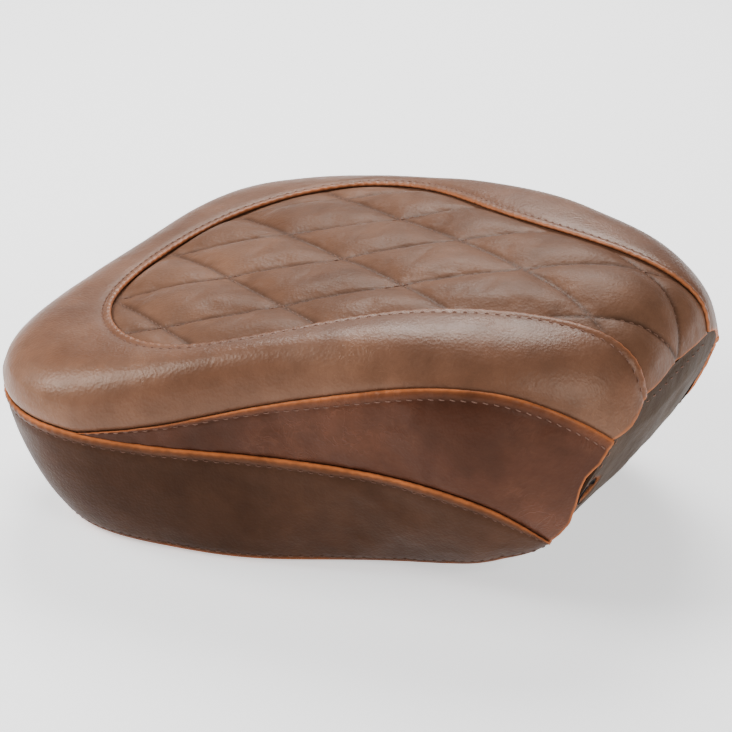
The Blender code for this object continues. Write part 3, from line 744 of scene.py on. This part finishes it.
def make_padding(material):
    """The padding under the quilting, pressed down along the stitch lines."""
    s, y = quilt_grid(CELLS)
    edge = seam_distance(s, y)
    place, normal, height = quilt_base(s, y, edge)
    clear = LEATHER + 1.2
    top = place + normal * (height - clear)[..., None]
    low = place - normal * (LEATHER + PADDING)
    kept = (edge > 2.5) & (s > ROW_RUN[0] + 4) & (s < ROW_RUN[-1] - 8)
    vertices, faces, _ = shell(top, low, 0 * edge, kept, [])
    piece = new_piece("quilt_filling", vertices, faces, material)
    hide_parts("quilt_padding")


def quilt_lines():
    """Each stitch line inside the insert, as (places, normals) along the bottom of its channel."""
    found = []
    for sign in (1, -1):
        for odd in range(-7, 9, 2):
            s = np.arange(ROW_RUN[0], ROW_RUN[-1] - 1.5, 1.0)
            y = odd * QUILT_ACROSS - sign * s * QUILT_ACROSS / QUILT_ALONG
            edge = seam_distance(s, y)
            inside = edge > 1.2
            if inside.sum() < 8:
                continue
            s, y = s[inside], y[inside]
            place, normal, height = quilt_base(s, y, edge[inside])
            found.append((place + normal * (height - CHANNEL_DEPTH)[:, None], normal))
    return found


# Thread and staples -------------------------------------------------------------------------


def rods(line, normals, pitch, length, radius, bow, lean):
    """Short bent rods along a line, such as stitches. Their ends go down into the leather."""
    run = run_along(line)
    angles = np.arange(ROD_SIDES) * 2 * np.pi / ROD_SIDES

    def on(rows, at):
        return np.array([np.interp(at, run, rows[:, axis]) for axis in range(3)])

    vertices, faces = [], []
    for i in range(int((run[-1] - length) / pitch)):
        middle = (i + 0.5) * pitch + length * 0.2
        rings = len(vertices) + np.arange(len(ROD_RINGS))[:, None] * ROD_SIDES + np.arange(ROD_SIDES)
        for share, size in ROD_RINGS:
            at = middle + share * length / 2
            point, normal = on(line, at), unit(on(normals, at))
            step = on(line, at + 0.3) - point
            if np.linalg.norm(step) > 1e-6:
                direction = unit(step - normal * (step @ normal))
            across = np.cross(direction, normal)
            centre = point + normal * bow * (1 - 2.2 * share * share) + across * lean * share
            for angle in angles:
                vertices.append(centre + (across * np.cos(angle) + normal * np.sin(angle)) * radius * size)
        after = np.roll(rings, -1, axis=1)
        faces += np.stack([rings[:-1], after[:-1], after[1:], rings[1:]], axis=-1).reshape(-1, 4).tolist()
        faces += [rings[0, ::-1].tolist(), rings[-1].tolist()]
    return vertices, faces


def make_rods(name, lines, material, slot, *sizes):
    vertices, faces = [], []
    for line, normals in lines:
        more, cells = rods(line, normals, *sizes)
        faces += [[len(vertices) + m for m in cell] for cell in cells]
        vertices += more
    return new_piece(name, vertices, faces, material)


# The front panel and the filling ------------------------------------------------------------


def front_edge_line():
    """The inside of the cover's front edge on the left, from the top of the front face to its foot."""
    v = np.linspace(0, 1, 81)
    ends = np.full(81, float(LAST))
    line = np.vstack([upper_side(ends, v), lower_side(ends, v * 0.6)[1:]])
    tangent = unit(np.gradient(line, axis=0) * (0, 1, 1))
    inward = np.stack([0 * tangent[:, 0], tangent[:, 2], -tangent[:, 1]], axis=1)
    return line + inward * (LEATHER + 0.8)


def front_grid(rows, columns):
    """The facing as a grid: it bulges between the two sides of the cover and ends at the arch."""
    line = front_edge_line()
    line = line[np.argsort(-line[:, 2], kind="stable")]
    height = np.linspace(line[0, 2] - 0.5, FRONT_FOOT_Z, rows)
    edge_x = np.interp(-height, -line[:, 2], line[:, 0])[:, None]
    edge_y = np.interp(-height, -line[:, 2], line[:, 1])[:, None]
    share = np.linspace(-1, 1, columns)
    foot_x, foot_y, _ = HEM[-1]
    foot = arched(np.stack([foot_x + 0 * share, foot_y * share, 0 * share], axis=1))[:, 2] + FRONT_CLEAR
    foot = np.maximum(foot, FRONT_FOOT_Z)
    down = np.linspace(0, 1, rows)[:, None]
    z = height[:, None] * (1 + down**3 * (foot / FRONT_FOOT_Z - 1))
    z = z + (0.4 + 1.1 * (1 - share**2)) * np.clip(1 - down * 6, 0, 1)
    lean = FRONT_DOWN[0] / FRONT_DOWN[2]
    bulge = FRONT_BULGE * np.clip((-z - 3) / 16, 0, 1) ** 0.8 * (1 - 0.6 * down**8)
    x = edge_x + lean * (z - height[:, None]) + bulge * (1 - share**2) - 0.8
    return np.stack([x, edge_y * share, z], axis=-1)


def make_front_panel(material, stitching):
    """The facing over the front of the foam and pan, with holes where the sockets open."""
    grid = front_grid(*FRONT_CELLS)
    x, y, z = np.moveaxis(grid, -1, 0)
    middle_y = np.where(y > 0, SOCKET_Y, -SOCKET_Y)
    tall = -FRONT_DOWN[2]
    away = np.hypot(y - middle_y, (z - SOCKET_Z) / tall)
    pull = np.where(away < HOLE_RIM + 1.0, HOLE_RIM / np.maximum(away, 1e-6), 1)
    kept = away > HOLE_RIM - 1.2
    pull = np.where(kept, pull, 1)
    new_y = middle_y + (y - middle_y) * pull
    new_z = SOCKET_Z + (z - SOCKET_Z) * pull
    lean = FRONT_DOWN[0] / FRONT_DOWN[2]
    place = np.stack([x + lean * (new_z - z), new_y, new_z], axis=-1)
    normal = unit(np.cross(np.gradient(grid, axis=1), np.gradient(grid, axis=0)))
    normal = normal * np.sign(normal[..., 0:1])
    soft = 0.5 * waves(place, 26, 31) + 0.15 * waves(place, 8, 32)
    lip = -HOLE_LIP * np.exp(-(((np.maximum(away, HOLE_RIM) - HOLE_RIM) / 1.4) ** 2))
    outer = place + normal * (soft + lip)[..., None]
    inner = outer - normal * (LEATHER + 0.2)
    worn = 0.6 * np.exp(-(((away - HOLE_RIM) / 1.0) ** 2))
    flipped = (grid[:, ::-1] for grid in (outer, inner, worn, kept))
    vertices, faces, paled = shell(*flipped, [-1])
    piece = new_piece("leather_front_panel", vertices, faces, material, paled)
    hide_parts("cover_front_panel")
    lines = [(outer[6, 12:-12], normal[6, 12:-12])]
    lines += [(outer[14:70, column], normal[14:70, column]) for column in (4, -5)]
    make_rods("thread_front", lines, stitching, "front_leather", *FRONT_RODS)


def make_sleeve(side, word, material):
    """The moulded throat between the hole in the front panel and the socket behind it."""
    mouth = front_point(np.array(side * SOCKET_Y), np.array(SOCKET_Z), np.array(0.0))
    angles = np.linspace(0, 2 * np.pi, 49)
    sideways = np.array([0.0, 1.0, 0.0])
    spokes = np.cos(angles)[:, None] * sideways + np.sin(angles)[:, None] * FRONT_DOWN

    def ring(radius, ahead):
        return mouth + FRONT_NORMAL * ahead + spokes * radius

    rows = [
        (6.1, -1.0), (6.1, 1.0), (6.15, 3.0), (6.25, 4.6), (6.6, 5.2), (7.3, 5.0), (7.6, 4.2), (7.6, 1.0),
        (7.6, -1.0),
    ]
    rings = np.array([ring(*row) for row in rows])[:, :-1]
    count = rings.shape[1]
    faces = []
    for i in range(len(rows)):
        for j in range(count):
            a, b = i * count, (i + 1) % len(rows) * count
            faces.append((a + j, b + j, b + (j + 1) % count, a + (j + 1) % count))
    new_piece(f"socket_sleeve_{word}", rings.reshape(-1, 3), faces, material)


def make_foam(material):
    """Foam in the shape of its CAD solid, its corners rounded off, a little smaller than its space."""
    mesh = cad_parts["foam_core"].data.copy()
    obj = linked("foam_block", mesh)
    for kind, settings in FOAM_ROUNDING.items():
        modifier = obj.modifiers.new(kind, kind)
        for name, value in settings.items():
            setattr(modifier, name, value)
    evaluated = obj.evaluated_get(bpy.context.evaluated_depsgraph_get())
    obj.data = bpy.data.meshes.new_from_object(evaluated)
    obj.modifiers.clear()
    bpy.data.meshes.remove(mesh)
    obj.data.name = obj.name
    obj.data.materials.clear()
    obj.data.materials.append(material)
    obj.data.shade_smooth()
    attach(obj, "root")
    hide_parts("foam_core")


# Materials ----------------------------------------------------------------------------------


class Shader:
    """A material made of nodes: add() makes one, with its inputs set or linked by name."""

    def __init__(self, name):
        self.material = bpy.data.materials.new(name)
        self.material.use_nodes = True
        self.tree = self.material.node_tree
        self.surface = self.tree.nodes["Principled BSDF"]
        self.coordinates = self.tree.nodes.new("ShaderNodeTexCoord").outputs["Object"]

    def feed(self, socket, value):
        """Links a socket to another node's output, or sets it to a constant. A colour gets its alpha."""
        if isinstance(value, bpy.types.NodeSocket):
            self.tree.links.new(value, socket)
        elif hasattr(value, "__len__") and len(value) < len(socket.default_value):
            socket.default_value = (*value, 1)
        else:
            socket.default_value = value

    def put(self, node, inputs):
        for name, value in inputs.items():
            self.feed(node.inputs[name], value)

    def add(self, kind, output, settings=None, **inputs):
        node = self.tree.nodes.new(kind)
        for name, value in (settings or {}).items():
            setattr(node, name, value)
        self.put(node, {name.replace("_", " "): value for name, value in inputs.items()})
        return node.outputs[output]

    def finished(self, colour, roughness, relief, **more):
        self.put(self.surface, {"Base Color": colour, "Roughness": roughness, "Normal": relief})
        self.put(self.surface, {name.replace("_", " "): value for name, value in more.items()})
        return self.material

    def noise(self, scale, detail=4.0, roughness=0.55, **more):
        return self.add(
            "ShaderNodeTexNoise", "Fac",
            Vector=self.coordinates, Scale=scale, Detail=detail, Roughness=roughness, **more,
        )

    def ramp(self, value, *stops):
        node = self.tree.nodes.new("ShaderNodeValToRGB")
        self.tree.links.new(value, node.inputs["Fac"])
        ramp = node.color_ramp
        while len(ramp.elements) < len(stops):
            ramp.elements.new(0.5)
        for element, (place, colour) in zip(ramp.elements, stops):
            element.position = place
            element.color = (*colour, 1) if hasattr(colour, "__len__") else (colour, colour, colour, 1)
        return node.outputs["Color"]

    def mix(self, share, a, b, blend="MIX"):
        node = self.tree.nodes.new("ShaderNodeMix")
        node.data_type = "RGBA"
        node.blend_type = blend
        for index, value in ((0, share), (6, a), (7, b)):
            self.feed(node.inputs[index], value)
        return node.outputs[2]

    def math(self, operation, *values, kind="ShaderNodeMath"):
        node = self.tree.nodes.new(kind)
        node.operation = operation
        for socket, value in zip(node.inputs, values):
            self.feed(socket, value)
        return node.outputs[0]

    def bump(self, height, distance, strength=1.0, normal=None):
        inputs = {"Height": height, "Distance": distance, "Strength": strength}
        if normal is not None:
            inputs["Normal"] = normal
        return self.add("ShaderNodeBump", "Normal", **inputs)

    def warped(self, scale, amount):
        """Coordinates pushed about by noise, so that a pattern in them isn't regular."""
        colour = self.add("ShaderNodeTexNoise", "Color", Vector=self.coordinates, Scale=scale, Detail=3.0)
        shifted = self.math("SUBTRACT", colour, (0.5, 0.5, 0.5), kind="ShaderNodeVectorMath")
        scaled = self.add("ShaderNodeVectorMath", "Vector", {"operation": "SCALE"}, Scale=amount)
        self.feed(scaled.node.inputs[0], shifted)
        return self.math("ADD", self.coordinates, scaled, kind="ShaderNodeVectorMath")


def leather(name, deep, tone, light, rough, creased, gloss):
    """Waxed leather: mottled, grained and creased, paler where bent or cut, with painted shade in the
    quilting channels.
    """
    made = Shader(name)
    colour = made.ramp(made.noise(11, 5, 0.6), (0.3, deep), (0.52, tone), (0.72, light))
    cloudy = made.ramp(made.noise(70, 6, 0.65), (0.3, 0.82), (0.7, 1.12))
    colour = made.mix(1.0, colour, cloudy, "MULTIPLY")
    crease = made.ramp(made.noise(130, 3, Distortion=0.9), (0.45, 0.0), (0.5, 1.0), (0.55, 0.0))
    patches = made.ramp(made.noise(22, 2), (0.5, 0.0), (0.72, 1.0))
    crease = made.math("MULTIPLY", crease, patches)
    rubbed = tuple(1.7 * c for c in light)
    colour = made.mix(made.math("MULTIPLY", crease, 0.3 * creased), colour, rubbed)
    settings = {"attribute_name": "paled", "attribute_type": "GEOMETRY"}
    paled = made.add("ShaderNodeAttribute", "Fac", settings)
    # Painted shade: where paled is below zero, the leather is darkened towards a deep tone in the quilting
    # channels.
    painted_shade = made.math("MULTIPLY", paled, -1.0)
    colour = made.mix(painted_shade, colour, tuple(0.3 * c for c in deep))
    worn = made.ramp(made.noise(55, 4, 0.7), (0.32, 0.45), (0.6, 1.0))
    paled = made.math("MULTIPLY", paled, worn)
    colour = made.mix(paled, colour, PALED_LEATHER)
    grain_cells = made.warped(260, 0.0012)
    grain = made.add("ShaderNodeTexVoronoi", "Distance", Vector=grain_cells, Scale=620.0)
    pores = made.noise(1500, 3)
    relief = made.bump(grain, 0.00022, 0.5)
    relief = made.bump(pores, 0.0001, 0.35, relief)
    relief = made.bump(crease, 0.0004, 0.5 * creased + 0.1, relief)
    relief = made.bump(made.noise(120, 4, 0.6), 0.0008, 0.35, relief)
    shine = made.ramp(made.noise(40, 5, 0.65), (0.3, rough - 0.06), (0.7, rough + 0.08))
    return made.finished(colour, shine, relief, Specular_IOR_Level=gloss, Specular_Tint=(1.0, 0.82, 0.68))


def thread(name, colour):
    """Twisted bonded thread."""
    made = Shader(name)
    twist = made.add("ShaderNodeTexWave", "Fac", Vector=made.coordinates, Scale=900.0, Distortion=2.0)
    tinted = made.ramp(made.noise(300, 3), (0.3, tuple(c * 0.7 for c in colour)), (0.7, colour))
    relief = made.bump(twist, 0.0001, 0.6)
    return made.finished(tinted, 0.65, relief, Specular_IOR_Level=0.15)


def plastic(name, dark, light, rough, gloss=0.5):
    """Moulded plastic with a fine sandy texture and faint flow marks."""
    made = Shader(name)
    colour = made.ramp(made.noise(18, 5, 0.6), (0.3, dark), (0.7, light))
    relief = made.bump(made.noise(900, 4, 0.7), 0.00012, 0.5)
    shine = made.ramp(made.noise(35, 4), (0.3, rough - 0.06), (0.7, rough + 0.08))
    return made.finished(colour, shine, relief, Specular_IOR_Level=gloss)


def rubber(name):
    made = Shader(name)
    colour = made.ramp(made.noise(60, 6, 0.7), (0.3, 0.012), (0.7, 0.03))
    relief = made.bump(made.noise(700, 5, 0.75), 0.00018, 0.7)
    shine = made.ramp(made.noise(90, 4), (0.3, 0.7), (0.7, 0.9))
    return made.finished(colour, shine, relief)


def zinc(name, scale=1.0):
    """Bright zinc plating, with the clouding and small scratches of handled steel."""
    made = Shader(name)
    colour = made.ramp(made.noise(45 * scale, 5, 0.6), (0.3, (0.42, 0.42, 0.4)), (0.7, (0.66, 0.65, 0.6)))
    scratches = made.add(
        "ShaderNodeTexWave", "Fac", Vector=made.coordinates, Scale=240.0, Distortion=9.0, Detail=3.0
    )
    relief = made.bump(scratches, 0.00003, 0.3)
    shine = made.ramp(made.noise(80 * scale, 5, 0.7), (0.3, 0.26), (0.7, 0.46))
    return made.finished(colour, shine, relief, Metallic=1.0)


def foam(name, pale, deep, scale):
    """Open-cell foam or felted padding."""
    made = Shader(name)
    cells = made.add("ShaderNodeTexVoronoi", "Distance", Vector=made.coordinates, Scale=scale)
    colour = made.ramp(cells, (0.0, deep), (0.5, pale))
    relief = made.bump(cells, 0.0006, 0.8)
    shine = made.ramp(made.noise(120, 3), (0.3, 0.85), (0.7, 1.0))
    return made.finished(colour, shine, relief)


# The stage ----------------------------------------------------------------------------------

# The camera stands to the right of the seat and ahead of it, and looks down on its right front corner.
CAMERA_PLACE = (0.5715, -1.0448, 0.6797)
CAMERA_RIGHT = (0.87106, 0.49095, 0.01482)
CAMERA_UP = (-0.23926, 0.39777, 0.88574)
CAMERA_BACK = (0.42896, -0.77508, 0.46394)
CAMERA_LENS = 132.79
FLOOR_HALF = 4.0
FLOOR_GAP = 0.0015


def make_camera():
    data = bpy.data.cameras.new("camera")
    data.sensor_width = 36
    data.lens = CAMERA_LENS
    data.clip_end = 20
    camera = linked("camera", data)
    matrix = Matrix((CAMERA_RIGHT, CAMERA_UP, CAMERA_BACK)).transposed().to_4x4()
    matrix.translation = CAMERA_PLACE
    camera.matrix_world = matrix
    bpy.context.scene.camera = camera


def make_light(name, place, target, size, power):
    data = bpy.data.lights.new(name, "AREA")
    data.shape = "RECTANGLE"
    data.size = data.size_y = size
    data.energy = power
    light = linked(name, data)
    light.location = place
    light.rotation_mode = "QUATERNION"
    light.rotation_quaternion = (Vector(target) - Vector(place)).to_track_quat("-Z", "Y")


def make_floor():
    mesh = bpy.data.meshes.new("floor")
    low = CAD_BOX[0][2] - FLOOR_GAP
    corners = ((-1, -1), (1, -1), (1, 1), (-1, 1))
    mesh.from_pydata([(x * FLOOR_HALF, y * FLOOR_HALF, low) for x, y in corners], [], [(0, 1, 2, 3)])
    floor = linked("floor", mesh)
    made = Shader("floor")
    colour = made.ramp(made.noise(3, 2), (0.3, 0.93), (0.7, 0.95))
    made.put(made.surface, {
        "Base Color": colour, "Roughness": 0.7, "Emission Color": (1, 1, 1), "Emission Strength": 0.8,
    })
    mesh.materials.append(made.material)


def make_world():
    world = bpy.data.worlds.new("studio")
    world.use_nodes = True
    background = world.node_tree.nodes["Background"]
    background.inputs["Color"].default_value = (1, 1, 1, 1)
    background.inputs["Strength"].default_value = 0.22
    bpy.context.scene.world = world


def main():
    # Each panel's leather gets its own tones, which carry painted shade and painted light.
    hides = {word: leather(f"{word}_leather", *values) for word, values in LEATHER_TONES_WITH_PAINTED_SHADE.items()}
    light_thread = thread("seam_thread", (0.2, 0.105, 0.075))
    dark_thread = thread("skirt_thread", (0.13, 0.065, 0.045))
    quilt_thread = thread("quilt_thread", (0.2, 0.1, 0.065))
    steel = zinc("staple_steel", 2)
    make_insert(hides["insert"])
    insert_stitches = make_bolster(hides["bolster"])
    wedge_stitches = [make_wedge(side, word, hides["wedge"]) for side, word in SIDES]
    skirt_stitches, hem_stitches, staple_line = make_skirt(hides["skirt"])
    make_front_panel(hides["front"], light_thread)
    make_rods("thread_insert_seam", [insert_stitches], light_thread, "bolster_leather", *SEAM_RODS)
    make_rods("thread_wedge_seams", wedge_stitches, light_thread, "wedge_leather", *SEAM_RODS)
    make_rods("thread_skirt_seam", [skirt_stitches], dark_thread, "skirt_leather", *SEAM_RODS)
    make_rods("thread_hem", [hem_stitches], dark_thread, "skirt_leather", *SEAM_RODS)
    make_rods("thread_quilting", quilt_lines(), quilt_thread, "insert_leather", *QUILT_RODS)
    below = np.tile([0.0, 0.0, -1.0], (len(staple_line), 1))
    make_rods("staples", [(staple_line, below)], steel, "zinc_steel", *STAPLE_RODS)
    foam_look = foam("foam", (0.62, 0.5, 0.26), (0.4, 0.31, 0.14), 450.0)
    padding_look = foam("padding", (0.75, 0.75, 0.72), (0.55, 0.55, 0.52), 300.0)
    make_foam(foam_look)
    make_padding(padding_look)
    socket_look = plastic("socket_plastic", (0.004, 0.003, 0.003), (0.009, 0.006, 0.006), 0.75, 0.08)
    for side, word in SIDES:
        make_sleeve(side, word, socket_look)
    looks = {
        "base_pan": plastic("pan_plastic", (0.012, 0.012, 0.013), (0.028, 0.028, 0.03), 0.5),
        "front_socket": socket_look,
        "bumper": rubber("bumper_rubber"),
        "front_mount": zinc("plate_zinc"), "rear_mount": zinc("plate_zinc_rear"),
        "front_plate_bolt": steel, "rear_plate_bolt": steel,
        "front_weld_nut": steel, "rear_weld_nut": steel,
    }
    for name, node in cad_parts.items():
        for start, look in looks.items():
            if name.startswith(start):
                node.data.materials.clear()
                node.data.materials.append(look)
    make_floor()
    make_world()
    make_light("top", (-0.4, 0.75, 1.05), (0, 0, 0.08), 0.8, 25)
    make_light("rear", (-0.75, -0.45, 0.7), (-0.1, -0.05, 0.08), 0.5, 14)
    make_light("right", (1.07, -0.52, 0.72), (0.1, -0.05, 0.1), 0.5, 10)
    make_camera()


main()
